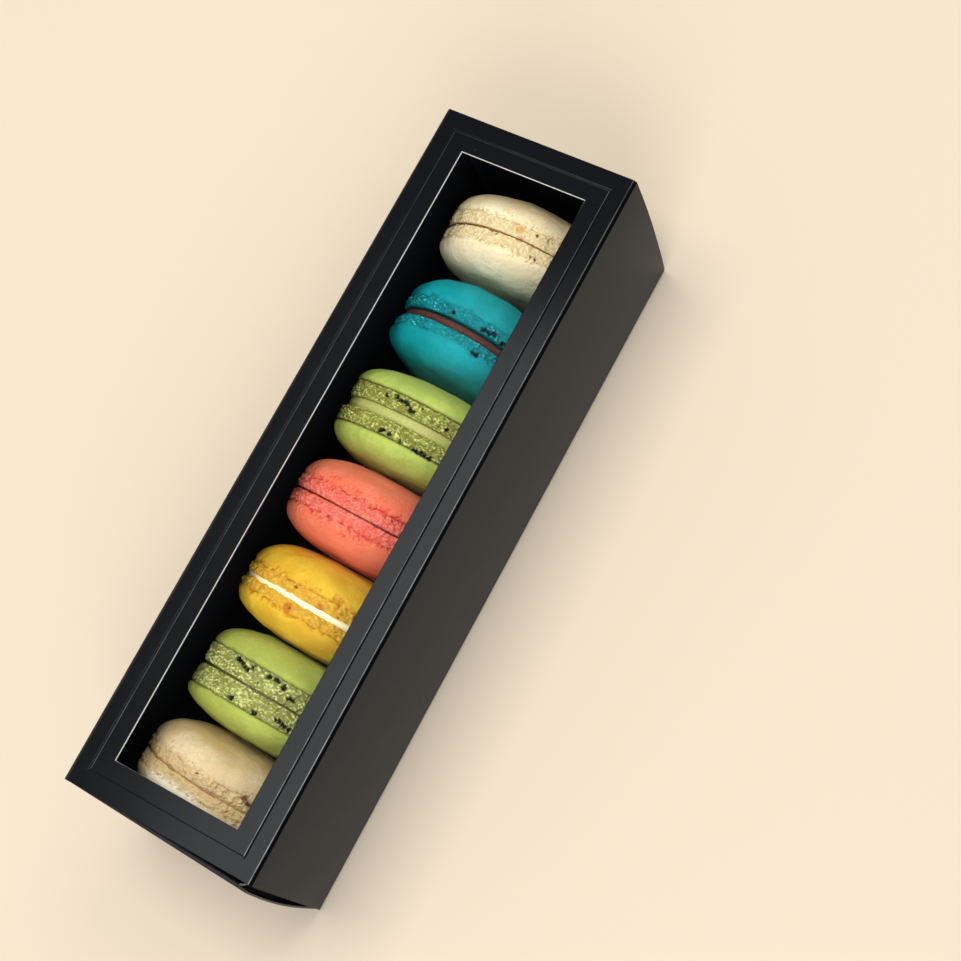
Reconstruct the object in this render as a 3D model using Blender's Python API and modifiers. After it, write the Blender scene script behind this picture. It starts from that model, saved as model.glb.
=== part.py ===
# Cookie box: a folded card sleeve with a clear window in its top, a card tray
# that slides in it, and filled almond biscuits standing on edge in one row.
# Metres, +Z up. The row runs along Y, and the tray sticks out a little at -Y.
# The origin is the middle of the whole box's footprint, on the table.
import math
import random

import bmesh
import bpy
from mathutils import Vector

MM = 0.001

# Sleeve: an open card tube, folded along four edges
SLEEVE_LENGTH = 200.0 * MM
SLEEVE_WIDTH = 57.0 * MM
SLEEVE_HEIGHT = 55.0 * MM
CARD = 0.5 * MM
FOLD_RADIUS = 0.7 * MM
SIDE_BOW = 0.7 * MM
BOW_CUTS = 7

# Window in the top panel, the pressed line round it, and the film under it
WINDOW_MARGIN = 9.9 * MM
GROOVE_INSET = 4.5 * MM
GROOVE_WIDTH = 0.9 * MM
GROOVE_DEPTH = 0.15 * MM
FILM = 0.2 * MM
FILM_OVERLAP = 4.0 * MM

# Tray: thin sides and floor, double card at both ends. The near end flap springs
# outwards at its top +X corner.
GAP = 0.3 * MM
TRAY_LENGTH = 199.6 * MM
TRAY_PROUD = 0.1 * MM
TRAY_FLARE = 2.0 * MM
TRAY_END = 1.1 * MM
FLARE_CUTS = 3

# Biscuits: turned shells with an uneven dome over a frilled foot
TURN_STEPS = 32
DOME_ROWS = 5
FRILL = 0.45 * MM
FILLING_INSET = 0.075

# One row each, from the far end to the near end: name, flavour colour and
# filling colour (linear RGB), then millimetres and degrees: place across, place
# along, turn about Z, lean towards the near end, diameter, far dome, near dome,
# foot, filling
BISCUITS = [
    ("ivory", (0.80, 0.66, 0.40), (0.22, 0.09, 0.03), -1.0, 78.2, 2, 4.0, 45.2, 10.0, 7.6, 3.2, 0.6),
    ("turquoise", (0.01, 0.36, 0.38), (0.09, 0.03, 0.02), -0.5, 48.4, -3, -1.0, 45.4, 11.0, 7.4, 3.0, 2.5),
    ("lime", (0.42, 0.47, 0.12), (0.52, 0.50, 0.19), -1.2, 21.5, -1, 5.0, 45.8, 7.6, 7.8, 4.4, 2.4),
    ("coral", (0.78, 0.11, 0.07), (0.25, 0.02, 0.02), -1.0, -5.6, -2, 6.0, 46.4, 9.2, 8.8, 3.2, 0.6),
    ("golden", (0.74, 0.41, 0.02), (0.84, 0.66, 0.25), -1.6, -31.9, -3, 5.5, 46.0, 9.6, 7.6, 2.8, 1.2),
    ("sage", (0.26, 0.34, 0.09), (0.22, 0.20, 0.04), -1.2, -58.4, -2, 0.5, 45.0, 8.8, 6.6, 5.0, 0.8),
    ("beige", (0.66, 0.47, 0.24), (0.33, 0.17, 0.07), -2.0, -84.0, -4, 5.0, 46.0, 9.6, 8.2, 2.6, 0.6),
]

SLEEVE_Y = (TRAY_PROUD + TRAY_FLARE) / 2
TRAY_Y = SLEEVE_Y - SLEEVE_LENGTH / 2 - TRAY_PROUD + TRAY_LENGTH / 2
FILM_TOP = SLEEVE_HEIGHT - CARD - GAP
TRAY_BOTTOM = CARD + GAP
TRAY_TOP = FILM_TOP - FILM - GAP
TRAY_WIDTH = SLEEVE_WIDTH - 2 * (CARD + GAP)
TRAY_FLOOR = TRAY_BOTTOM + CARD


def clear_scene():
    for old in list(bpy.data.objects):
        bpy.data.objects.remove(old, do_unlink=True)


def new_collection(name):
    collection = bpy.data.collections.new(name)
    bpy.context.scene.collection.children.link(collection)
    return collection


def make_material(name, colour, roughness, alpha=1.0):
    material = bpy.data.materials.new(name)
    material.use_nodes = True
    shader = material.node_tree.nodes["Principled BSDF"]
    shader.inputs["Base Color"].default_value = (*colour, 1.0)
    shader.inputs["Roughness"].default_value = roughness
    shader.inputs["Metallic"].default_value = 0.0
    shader.inputs["Alpha"].default_value = alpha
    return material


def add_object(name, bm, collection, material=None):
    mesh = bpy.data.meshes.new(name)
    bm.to_mesh(mesh)
    bm.free()
    if material:
        mesh.materials.append(material)
    obj = bpy.data.objects.new(name, mesh)
    collection.objects.link(obj)
    return obj


def box_mesh(size):
    """A cube of the given size about its own middle."""
    bm = bmesh.new()
    bmesh.ops.create_cube(bm, size=1.0)
    bmesh.ops.scale(bm, vec=size, verts=bm.verts)
    return bm


def add_cutter(name, bm, place, cutters):
    cutter = add_object(name, bm, cutters)
    cutter.location = place
    cutter.hide_render = True
    cutter.display_type = "WIRE"
    return cutter


def cut(obj, cutter):
    boolean = obj.modifiers.new(cutter.name, "BOOLEAN")
    boolean.operation = "DIFFERENCE"
    boolean.solver = "EXACT"
    boolean.object = cutter


def smooth(obj, angle):
    obj.data.shade_smooth()
    obj.data.set_sharp_from_angle(angle=math.radians(angle))


def groove_mesh(outer, inner, depth):
    """A flat frame: the ring between two rectangles, as thick as depth."""
    bm = bmesh.new()
    for width, length in (outer, inner):
        corners = [(-1, -1), (1, -1), (1, 1), (-1, 1)]
        ring = [bm.verts.new((x * width / 2, y * length / 2, 0)) for x, y in corners]
        for start, end in zip(ring, ring[1:] + ring[:1]):
            bm.edges.new((start, end))
    bmesh.ops.bridge_loops(bm, edges=bm.edges)
    frame = bmesh.ops.extrude_face_region(bm, geom=bm.faces[:])
    top = [item for item in frame["geom"] if isinstance(item, bmesh.types.BMVert)]
    bmesh.ops.translate(bm, vec=(0, 0, depth), verts=top)
    bmesh.ops.recalc_face_normals(bm, faces=bm.faces)
    return bm


def make_sleeve(parts, cutters):
    """The open tube: its two side panels bow outwards, and the window and the
    pressed line are cut into its top."""
    bm = box_mesh((SLEEVE_WIDTH, SLEEVE_LENGTH, SLEEVE_HEIGHT))
    ends = [face for face in bm.faces if abs(face.normal.y) > 0.5]
    bmesh.ops.delete(bm, geom=ends, context="FACES_ONLY")
    upright = [edge for edge in bm.edges if abs((edge.verts[0].co - edge.verts[1].co).z) > SLEEVE_HEIGHT / 2]
    bmesh.ops.subdivide_edges(bm, edges=upright, cuts=BOW_CUTS)
    for vert in bm.verts:
        height = vert.co.z / (SLEEVE_HEIGHT / 2)
        vert.co.x += math.copysign(SIDE_BOW * (1 - height ** 2), vert.co.x)
    card = make_material("sleeve_card", (0.022, 0.024, 0.025), 0.5)
    sleeve = add_object("sleeve", bm, parts, card)
    sleeve.location = (0, SLEEVE_Y, SLEEVE_HEIGHT / 2)
    folds = sleeve.modifiers.new("Folds", "BEVEL")
    folds.width = FOLD_RADIUS
    folds.segments = 3
    folds.limit_method = "ANGLE"
    folds.angle_limit = math.radians(60)
    solidify = sleeve.modifiers.new("Card", "SOLIDIFY")
    solidify.thickness = CARD
    solidify.offset = -1
    solidify.use_even_offset = True

    window = (SLEEVE_WIDTH - 2 * WINDOW_MARGIN, SLEEVE_LENGTH - 2 * WINDOW_MARGIN, 4 * CARD)
    cut(sleeve, add_cutter("window_cut", box_mesh(window), (0, SLEEVE_Y, SLEEVE_HEIGHT), cutters))
    outer = (SLEEVE_WIDTH - 2 * GROOVE_INSET, SLEEVE_LENGTH - 2 * GROOVE_INSET)
    inner = tuple(side - 2 * GROOVE_WIDTH for side in outer)
    groove = groove_mesh(outer, inner, 2 * CARD)
    cut(sleeve, add_cutter("groove_cut", groove, (0, SLEEVE_Y, SLEEVE_HEIGHT - GROOVE_DEPTH), cutters))
    smooth(sleeve, 30)


def make_film(parts):
    width = SLEEVE_WIDTH - 2 * (WINDOW_MARGIN - FILM_OVERLAP)
    length = SLEEVE_LENGTH - 2 * (WINDOW_MARGIN - FILM_OVERLAP)
    clear = make_material("window_film", (0.9, 0.9, 0.9), 0.05, 0.15)
    film = add_object("window_film", box_mesh((width, length, FILM)), parts, clear)
    film.location = (0, SLEEVE_Y, FILM_TOP - FILM / 2)


def flared_box(size, middle_z):
    """A box whose near end leans out, more towards +X and towards the top."""
    bm = box_mesh(size)
    near = [edge for edge in bm.edges if all(vert.co.y < 0 for vert in edge.verts)]
    bmesh.ops.subdivide_edges(bm, edges=near, cuts=FLARE_CUTS, use_grid_fill=True)
    for vert in bm.verts:
        if vert.co.y < 0:
            across = vert.co.x / TRAY_WIDTH + 0.5
            rise = (vert.co.z + middle_z - TRAY_BOTTOM) / (TRAY_TOP - TRAY_BOTTOM)
            vert.co.y -= TRAY_FLARE * across * rise
    return bm


def make_tray(parts, cutters):
    """The open tray, with double card at both ends."""
    middle_z = (TRAY_TOP + TRAY_BOTTOM) / 2
    outside = flared_box((TRAY_WIDTH, TRAY_LENGTH, TRAY_TOP - TRAY_BOTTOM), middle_z)
    card = make_material("tray_card", (0.018, 0.019, 0.020), 0.55)
    tray = add_object("tray", outside, parts, card)
    tray.location = (0, TRAY_Y, middle_z)
    hollow_z = TRAY_FLOOR + SLEEVE_HEIGHT / 2
    hollow = flared_box((TRAY_WIDTH - 2 * CARD, TRAY_LENGTH - 2 * TRAY_END, SLEEVE_HEIGHT), hollow_z)
    cut(tray, add_cutter("tray_cut", hollow, (0, TRAY_Y, hollow_z), cutters))
    smooth(tray, 30)


def turn_profile(name, points, collection):
    """Turn a profile of (radius, height) points about Z into a closed mesh."""
    bm = bmesh.new()
    verts = [bm.verts.new((radius, 0, height)) for radius, height in points]
    for upper, lower in zip(verts, verts[1:]):
        bm.edges.new((upper, lower))
    guide = add_object(name, bm, collection)
    screw = guide.modifiers.new("Turn", "SCREW")
    screw.steps = TURN_STEPS
    screw.render_steps = TURN_STEPS
    screw.use_merge_vertices = True
    screw.merge_threshold = 0.00001
    bpy.context.view_layer.update()
    turned = bpy.data.meshes.new_from_object(guide.evaluated_get(bpy.context.evaluated_depsgraph_get()))
    bpy.data.objects.remove(guide, do_unlink=True)
    turned.name = name
    return turned


def shell_profile(radius, foot, dome):
    """From the dome's top, over its shoulder and the crease, down the foot."""
    points = []
    for row in range(DOME_ROWS + 1):
        angle = math.pi / 2 * (1 - row / (DOME_ROWS + 0.6))
        points.append((radius * math.cos(angle) ** 0.72, foot + dome * math.sin(angle) ** 0.92))
    points[0] = (0, foot + dome)
    points.append((0.945 * radius, foot))
    points.append((0.975 * radius, 0.62 * foot))
    points.append((0.965 * radius, 0.28 * foot))
    points.append((0.93 * radius, 0))
    points.append((0, 0))
    return points


def wave(rng, orders):
    """A smooth random wobble round the circle, between about -1 and 1."""
    parts = [(order, rng.uniform(0, math.tau), rng.uniform(0.5, 1)) for order in orders]
    total = sum(part[2] for part in parts)
    return lambda angle: sum(part[2] * math.sin(part[0] * angle + part[1]) for part in parts) / total


def roughen_shell(mesh, foot, dome, rng):
    """Make the dome a little out of round and the foot frilled."""
    outline = wave(rng, (2, 3, 5))
    frill_low = wave(rng, (7, 9, 11))
    frill_high = wave(rng, (10, 13, 15))
    tilt = rng.uniform(0, math.tau)
    for vert in mesh.vertices:
        reach = math.hypot(vert.co.x, vert.co.y)
        angle = math.atan2(vert.co.y, vert.co.x)
        if reach < 0.1 * MM:
            continue
        grown = reach * (1 + 0.010 * outline(angle))
        height = vert.co.z
        if 0 < height < 0.45 * foot:
            grown += FRILL * frill_low(angle)
        elif 0 < height <= 0.8 * foot:
            grown += FRILL * frill_high(angle)
        elif height > foot:
            rise = (height - foot) / dome
            vert.co.z += 0.3 * MM * rise * math.cos(angle - tilt)
        vert.co.x *= grown / reach
        vert.co.y *= grown / reach


def filling_profile(radius, depth):
    """A thin disc whose rim swells a little."""
    rim = radius * (1 - FILLING_INSET)
    half = depth / 2
    return [(0, half), (rim - 0.1 * depth, half), (rim, 0), (rim - 0.1 * depth, -half), (0, -half)]


def make_biscuit(number, row, parts, scratch):
    """One biscuit on an empty: a shell at each side and the filling between."""
    name, shell_colour, filling_colour, across, along, turn, lean, diameter, far_dome, near_dome, foot, filling = row
    rng = random.Random(number)
    radius = diameter * MM / 2
    depth = filling * MM
    holder = bpy.data.objects.new(f"macaron_{number}", None)
    scratch.objects.link(holder)
    holder.rotation_euler = (math.radians(lean), 0, math.radians(turn))
    shell_material = make_material(f"{name}_shell", shell_colour, 0.6)
    filling_material = make_material(f"{name}_filling", filling_colour, 0.5)

    pieces = []
    for side, dome, facing in (("far", far_dome, 1), ("near", near_dome, -1)):
        title = f"macaron_{number}_shell_{side}"
        mesh = turn_profile(title, shell_profile(radius, foot * MM, dome * MM), scratch)
        roughen_shell(mesh, foot * MM, dome * MM, rng)
        mesh.materials.append(shell_material)
        shell = bpy.data.objects.new(title, mesh)
        shell.location = (0, facing * (depth / 2 + GAP), 0)
        shell.rotation_euler = (-facing * math.pi / 2, rng.uniform(0, math.tau), 0)
        pieces.append(shell)

    title = f"macaron_{number}_filling"
    mesh = turn_profile(title, filling_profile(radius, depth), scratch)
    mesh.materials.append(filling_material)
    middle = bpy.data.objects.new(title, mesh)
    middle.rotation_euler = (math.pi / 2, 0, 0)
    pieces.append(middle)

    for piece in pieces:
        parts.objects.link(piece)
        piece.parent = holder
        smooth(piece, 40)
    settle(holder, pieces, across * MM, along * MM + SLEEVE_Y)


def settle(holder, pieces, across, along):
    """Set the biscuit down so that its lowest point just clears the floor."""
    bpy.context.view_layer.update()
    lowest = min((piece.matrix_world @ vert.co).z for piece in pieces for vert in piece.data.vertices)
    holder.location = Vector((across, along, TRAY_FLOOR + GAP - lowest))


def main():
    clear_scene()
    parts = new_collection("cookie_box")
    cutters = new_collection("cutters")
    make_sleeve(parts, cutters)
    make_film(parts)
    make_tray(parts, cutters)
    for number, row in enumerate(BISCUITS, start=1):
        make_biscuit(number, row, parts, cutters)
    bpy.context.view_layer.update()


main()
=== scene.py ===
import math

import bmesh
import bpy
from mathutils import Euler, Matrix, Vector


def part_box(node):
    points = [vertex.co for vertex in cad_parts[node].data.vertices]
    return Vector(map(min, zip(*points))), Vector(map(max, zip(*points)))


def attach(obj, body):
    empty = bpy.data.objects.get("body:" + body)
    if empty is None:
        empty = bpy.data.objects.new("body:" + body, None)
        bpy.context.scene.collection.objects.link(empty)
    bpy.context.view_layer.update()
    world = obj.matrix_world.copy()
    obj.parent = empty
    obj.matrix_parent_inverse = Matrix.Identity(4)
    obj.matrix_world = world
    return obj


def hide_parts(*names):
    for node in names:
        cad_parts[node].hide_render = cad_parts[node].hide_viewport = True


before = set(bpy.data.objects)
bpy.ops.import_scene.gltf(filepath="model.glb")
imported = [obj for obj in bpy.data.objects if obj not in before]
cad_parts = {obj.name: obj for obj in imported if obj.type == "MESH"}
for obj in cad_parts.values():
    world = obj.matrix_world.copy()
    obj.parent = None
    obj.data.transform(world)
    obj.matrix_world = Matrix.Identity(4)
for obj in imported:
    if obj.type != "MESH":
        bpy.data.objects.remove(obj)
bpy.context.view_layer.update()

# A window box of filled almond biscuits. Metres; sizes in the dictionaries are millimetres.
mm = 0.001
scene = bpy.context.scene
smooth = {"interpolation_type": "SMOOTHSTEP"}   # for a Map Range that eases from end to end


def hexColour(code):
    # sRGB hex to linear RGBA
    channels = [int(code[i:i + 2], 16) / 255 for i in (1, 3, 5)]
    linear = [c / 12.92 if c <= 0.04045 else ((c + 0.055) / 1.055) ** 2.4 for c in channels]
    return (*linear, 1.0)


def wire(tree, node, inputs):
    # sets or links a node's inputs, by name or by number
    for name, source in inputs.items():
        if isinstance(source, bpy.types.NodeSocket):
            tree.links.new(source, node.inputs[name])
        else:
            node.inputs[name].default_value = source


def addNode(tree, kind, inputs=None, output=0, **settings):
    # adds a node with its settings and inputs, and gives back one of its outputs
    node = tree.nodes.new(kind)
    for name, value in settings.items():
        setattr(node, name, value)
    wire(tree, node, inputs or {})
    return node.outputs[output] if len(node.outputs) else node


def layered(tree, colour, layers):
    # lays tones over a colour, each by its share, or by a value that eases in from start to end
    for share, *ease, tone in layers:
        if ease:
            start, end, most = ease
            share = addNode(tree, "ShaderNodeMapRange", {
                "Value": share, "From Min": start, "From Max": end, "To Max": most}, **smooth)
        above = hexColour(tone) if isinstance(tone, str) else tone
        colour = addNode(tree, "ShaderNodeMix", {
            0: share, 6: colour, 7: above}, output=2, data_type="RGBA")
    return colour


def newMaterial(name):
    # a material, its node tree, and its output for places in the piece's own coordinates
    material = bpy.data.materials.new(name)
    material.use_nodes = True
    tree = material.node_tree
    return material, tree, addNode(tree, "ShaderNodeTexCoord", output="Object")


def newObject(name, mesh):
    piece = bpy.data.objects.new(name, mesh)
    scene.collection.objects.link(piece)
    return piece


def meshFrom(bm, name):
    mesh = bpy.data.meshes.new(name)
    bm.to_mesh(mesh)
    bm.free()
    return mesh


def fixShape(piece, smoothAngle):
    # turns the modifiers' result into the piece's own plain mesh
    bpy.context.view_layer.update()
    evaluated = piece.evaluated_get(bpy.context.evaluated_depsgraph_get())
    mesh = bpy.data.meshes.new_from_object(evaluated)
    mesh.name = piece.name
    piece.modifiers.clear()
    piece.data = mesh
    mesh.shade_smooth()
    mesh.set_sharp_from_angle(angle=math.radians(smoothAngle))


def handIn(piece, body, slot, *nodes):
    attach(piece, body)
    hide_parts(*nodes)


# Camera, floor and lights

cameraView = {
    "place": (0.18847, -0.07079, 0.48428),
    "forward": (-0.34006, 0.18043, -0.92293),
    "up": (-0.39528, 0.86309, 0.31438),
    "lens": 70.52,
    "sensor": 36.0,
}
studio = {
    "floorColour": "#cabdaa",
    "floorSize": 8.0,       # metres
    "floorDrop": 0.2,       # how far it lies under the card, so that the two don't flicker
    "worldColour": "#eef1f6",
    "worldStrength": 0.55,
    # name, place, aim, size (all in metres), watts, colour
    "lamps": [
        ("skyPanel", (-0.215, 0.075, 1.40), (-0.215, 0.075, 0.0), 0.75, 15.5, "#fffaee"),
        ("backPanel", (0.25, 0.95, 1.25), (0.0, 0.0, 0.05), 0.70, 5.0, "#fffdf8"),
        ("frontPanel", (0.55, -0.95, 0.95), (0.0, -0.02, 0.03), 0.80, 12.0, "#fbfaff"),
    ],
}


def makeCamera():
    forward = Vector(cameraView["forward"]).normalized()
    right = forward.cross(Vector(cameraView["up"])).normalized()
    turn = Matrix((right, right.cross(forward), -forward)).transposed()
    camera = bpy.data.cameras.new("camera")
    camera.sensor_width = cameraView["sensor"]
    camera.lens = cameraView["lens"]
    camera.clip_start = 0.01
    holder = newObject("camera", camera)
    holder.matrix_world = Matrix.Translation(cameraView["place"]) @ turn.to_4x4()
    scene.camera = holder


def makeStudio():
    scene.view_settings.view_transform = "Standard"
    world = bpy.data.worlds.new("softRoom")
    world.use_nodes = True
    background = world.node_tree.nodes["Background"]
    background.inputs["Color"].default_value = hexColour(studio["worldColour"])
    background.inputs["Strength"].default_value = studio["worldStrength"]
    scene.world = world

    for name, place, aim, size, watts, colour in studio["lamps"]:
        lamp = bpy.data.lights.new(name, "AREA")
        lamp.shape = "SQUARE"
        lamp.size = size
        lamp.energy = watts
        lamp.color = hexColour(colour)[:3]
        holder = newObject(name, lamp)
        holder.location = place
        holder.rotation_euler = (Vector(place) - Vector(aim)).to_track_quat("Z", "Y").to_euler()

    # seamless paper floor: matt, with no grain that shows from here
    paper = bpy.data.materials.new("seamlessPaper")
    paper.use_nodes = True
    shader = paper.node_tree.nodes["Principled BSDF"]
    shader.inputs["Base Color"].default_value = hexColour(studio["floorColour"])
    shader.inputs["Roughness"].default_value = 0.95
    shader.inputs["Specular IOR Level"].default_value = 0.1
    bm = bmesh.new()
    bmesh.ops.create_grid(bm, x_segments=1, y_segments=1, size=studio["floorSize"] / 2)
    bmesh.ops.translate(bm, vec=(0, 0, -studio["floorDrop"] * mm), verts=bm.verts)
    mesh = meshFrom(bm, "floor")
    mesh.materials.append(paper)
    newObject("floor", mesh)


makeCamera()
makeStudio()
print("camera, floor and lights ready")


# Card and film materials

cardLooks = {
    # the core's two tones are its pulp and the shade between the fibres
    "sleeve": {
        # the pale tone is a painted highlight with some rubbing, on the folds' shoulders and the
        # pressed line's rims
        "colour": "#0a0b0e", "wornAndHighlight": "#8c8e8e", "roughness": 0.15, "core": ("#f6f3ee", "#d3cec6"),
        "side": "#191e23"},     # painted sheen: the side panels are painted a little paler and cooler than the top
    "tray": {
        "colour": "#1a1b1f", "wornAndHighlight": "#4a4b4b", "roughness": 0.36, "core": ("#55534f", "#3d3b38")},
    "tint": "#dbe2ec",  # of what the film mirrors straight on
    # painted shade: black in the scored lines and the folds' creases
    "pressed": "#070707",
    "peel": 0.35,       # the lamination's orange peel
    "cloud": 14.0,      # patches that differ a little in gloss
    "rubAndHighlight": 5.0,         # length of the stretches along a fold where its painted highlight and rubbing are stronger
    "dust": "#6d6b67",
    "dustEvery": 2.6,   # dust specks: spacing, the share of places that has one, and their size
    "dustShare": 0.06,
    "speck": 0.10,
    "fibre": 0.25,
    "gloss": (0.107, 0.02),     # specular level of the flat film and of a pressed line
    "glossDrift": 0.03,
}


def laminatedCard(name, look):
    # Black board with a matt film laminated on: a soft, even sheen that holds dust. Along the
    # folds' shoulders it takes a pale painted highlight with some rubbing, in the scored lines and
    # creases a black painted shade, and on the sleeve's sides a paler, cooler painted sheen. Its
    # peel is drawn at
    # 0.35 mm, coarser than the real one, so that it shows.
    material, tree, place = newMaterial(name)
    cloud, peel, rubAndHighlight = [
        addNode(tree, "ShaderNodeTexNoise", {
            "Vector": place, "Scale": 1 / (cardLooks[size] * mm), "Detail": detail})
        for size, detail in (("cloud", 3.0), ("peel", 2.0), ("rubAndHighlight", 3.0))]
    rubbedAndLit = addNode(tree, "ShaderNodeMapRange", {
        "Value": rubAndHighlight, "From Min": 0.35, "From Max": 0.6, "To Min": 0.45})
    # The mark is over 0 where the folds' pale painted highlight, with some rubbing, goes, and over
    # 1 where the film is cut through to the pulp. Under 0 it dulls, to black painted shade near -1,
    # with the sleeve's sides at a mark in between that takes a paler, cooler painted sheen.
    wear = addNode(tree, "ShaderNodeAttribute", output="Fac", attribute_name="wear")
    paleMarkShare = addNode(tree, "ShaderNodeMath", {
        0: wear, 1: rubbedAndLit}, operation="MULTIPLY", use_clamp=True)
    pressed = addNode(tree, "ShaderNodeMath", {
        0: wear, 1: -1.0}, operation="MULTIPLY", use_clamp=True)
    grains = addNode(tree, "ShaderNodeTexVoronoi", {
        "Vector": place, "Scale": 1 / (cardLooks["dustEvery"] * mm)})
    pick = addNode(tree, "ShaderNodeSeparateColor", {0: grains.node.outputs["Color"]})
    picked = addNode(tree, "ShaderNodeMath", {
        0: pick, 1: cardLooks["dustShare"]}, operation="LESS_THAN")
    near = addNode(tree, "ShaderNodeMath", {
        0: grains, 1: cardLooks["speck"] / cardLooks["dustEvery"]}, operation="LESS_THAN")
    dust = addNode(tree, "ShaderNodeMath", {0: picked, 1: near}, operation="MULTIPLY")
    # a pale painted highlight with some rubbing on the folds' shoulders and the pressed line's
    # rims, then dust
    layers = [(paleMarkShare, look["wornAndHighlight"]), (dust, cardLooks["dust"])]
    # the sleeve's side panels take a paler, cooler painted sheen
    if "side" in look:
        layers.append((wear, -0.4, -0.7, 1.0, look["side"]))
    # black painted shade in the scored lines and the folds' creases
    layers.append((wear, -0.76, -0.92, 1.0, cardLooks["pressed"]))
    layers.append((wear, 1.0, 1.5, 1.0, look["core"][0]))
    colour = layered(tree, hexColour(look["colour"]), layers)
    flat, dull = cardLooks["gloss"]
    shine = addNode(tree, "ShaderNodeMapRange", {"Value": pressed, "To Min": flat, "To Max": dull})
    rough = addNode(tree, "ShaderNodeMapRange", {
        "Value": cloud, "To Min": look["roughness"] - cardLooks["glossDrift"],
        "To Max": look["roughness"] + cardLooks["glossDrift"]})
    bump = addNode(tree, "ShaderNodeBump", {
        "Height": peel, "Strength": 0.25, "Distance": 0.02 * mm})
    wire(tree, tree.nodes["Principled BSDF"], {
        "Base Color": colour, "Roughness": rough, "Normal": bump,
        "Specular IOR Level": shine, "Specular Tint": hexColour(cardLooks["tint"])})
    return material


def boardCore(name, look):
    # Die-cut edge of the board: bare pulp, dull and fibrous, a line of its own tone beside black
    material, tree, place = newMaterial(name)
    fibre = addNode(tree, "ShaderNodeTexNoise", {
        "Vector": place, "Scale": 1 / (cardLooks["fibre"] * mm), "Detail": 3.0})
    spread = addNode(tree, "ShaderNodeMapRange", {
        "Value": fibre, "From Min": 0.35, "From Max": 0.65})
    colour = layered(tree, hexColour(look["core"][1]), [(spread, look["core"][0])])
    bump = addNode(tree, "ShaderNodeBump", {
        "Height": fibre, "Strength": 0.4, "Distance": 0.03 * mm})
    wire(tree, tree.nodes["Principled BSDF"], {
        "Base Color": colour, "Roughness": 0.9, "Normal": bump})
    return material


def clearFilm(name):
    # Extruded PET window film: all but invisible straight on, a faint smooth mirror at a slant
    material, tree, place = newMaterial(name)
    drift = addNode(tree, "ShaderNodeTexNoise", {
        "Vector": place, "Scale": 1 / (filmSizes["waveLength"] * mm)})
    bump = addNode(tree, "ShaderNodeBump", {"Height": drift, "Strength": 0.3, "Distance": 0.3 * mm})
    slant = addNode(tree, "ShaderNodeFresnel", {"IOR": 1.045, "Normal": bump})
    shader = tree.nodes["Principled BSDF"]
    wire(tree, shader, {
        "Base Color": hexColour("#ffffff"), "Metallic": 1.0, "Roughness": 0.06, "Normal": bump})
    clear = addNode(tree, "ShaderNodeBsdfTransparent", {"Color": hexColour("#fbfcfc")})
    mixed = addNode(tree, "ShaderNodeMixShader", {0: slant, 1: clear, 2: shader.outputs[0]})
    wire(tree, tree.nodes["Material Output"], {"Surface": mixed})
    return material


# Sheets of card: a grid of points, given its thickness and soft cut edges by modifiers

def sheetMesh(name, rows, closed=False, keep=None, markRows=None):
    # rows of points and of their marks of wear and painted light along the sheet; keep(row, column)
    # says which cells stay
    bm = bmesh.new()
    layer = bm.verts.layers.float.new("wear")
    grid = [[bm.verts.new(point) for point in row] for row in rows]
    for verts, values in zip(grid, markRows or []):
        for vert, wear in zip(verts, values):
            vert[layer] = wear
    columns = len(rows[0])
    for i in range(len(rows) - 1):
        for j in range(columns if closed else columns - 1):
            if keep and not keep(i, j):
                continue
            after = (j + 1) % columns
            bm.faces.new((grid[i][j], grid[i][after], grid[i + 1][after], grid[i + 1][j]))
    bmesh.ops.delete(bm, geom=[vert for vert in bm.verts if not vert.link_faces], context="VERTS")
    return meshFrom(bm, name)


def joinMeshes(name, meshes):
    bm = bmesh.new()
    for mesh in meshes:
        bm.from_mesh(mesh)
        bpy.data.meshes.remove(mesh)
    return meshFrom(bm, name)


def thicken(piece, thickness, burr, offset=-1.0):
    # gives a sheet its board or film, with the cut edges in the second material and a little soft
    solidify = piece.modifiers.new("Board", "SOLIDIFY")
    solidify.thickness = thickness * mm
    solidify.offset = offset
    solidify.use_even_offset = True
    solidify.material_offset_rim = 1
    bevel = piece.modifiers.new("CutEdge", "BEVEL")
    bevel.width = burr * mm
    bevel.segments = 2
    bevel.limit_method = "ANGLE"
    bevel.angle_limit = math.radians(60)
    fixShape(piece, 40)


def arc(centre, radius, start, end, count):
    # points from one angle to another, in degrees
    turns = [math.radians(start + (end - start) * k / count) for k in range(count + 1)]
    return [(centre[0] + radius * math.cos(a), centre[1] + radius * math.sin(a)) for a in turns]


def spaced(start, end, gap):
    # evenly spaced values from start up to, and without, end
    count = max(1, round(abs(end - start) / gap))
    return [start + (end - start) * k / count for k in range(count)]


# Sleeve: the folded tube with its window and the line pressed round it

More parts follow.
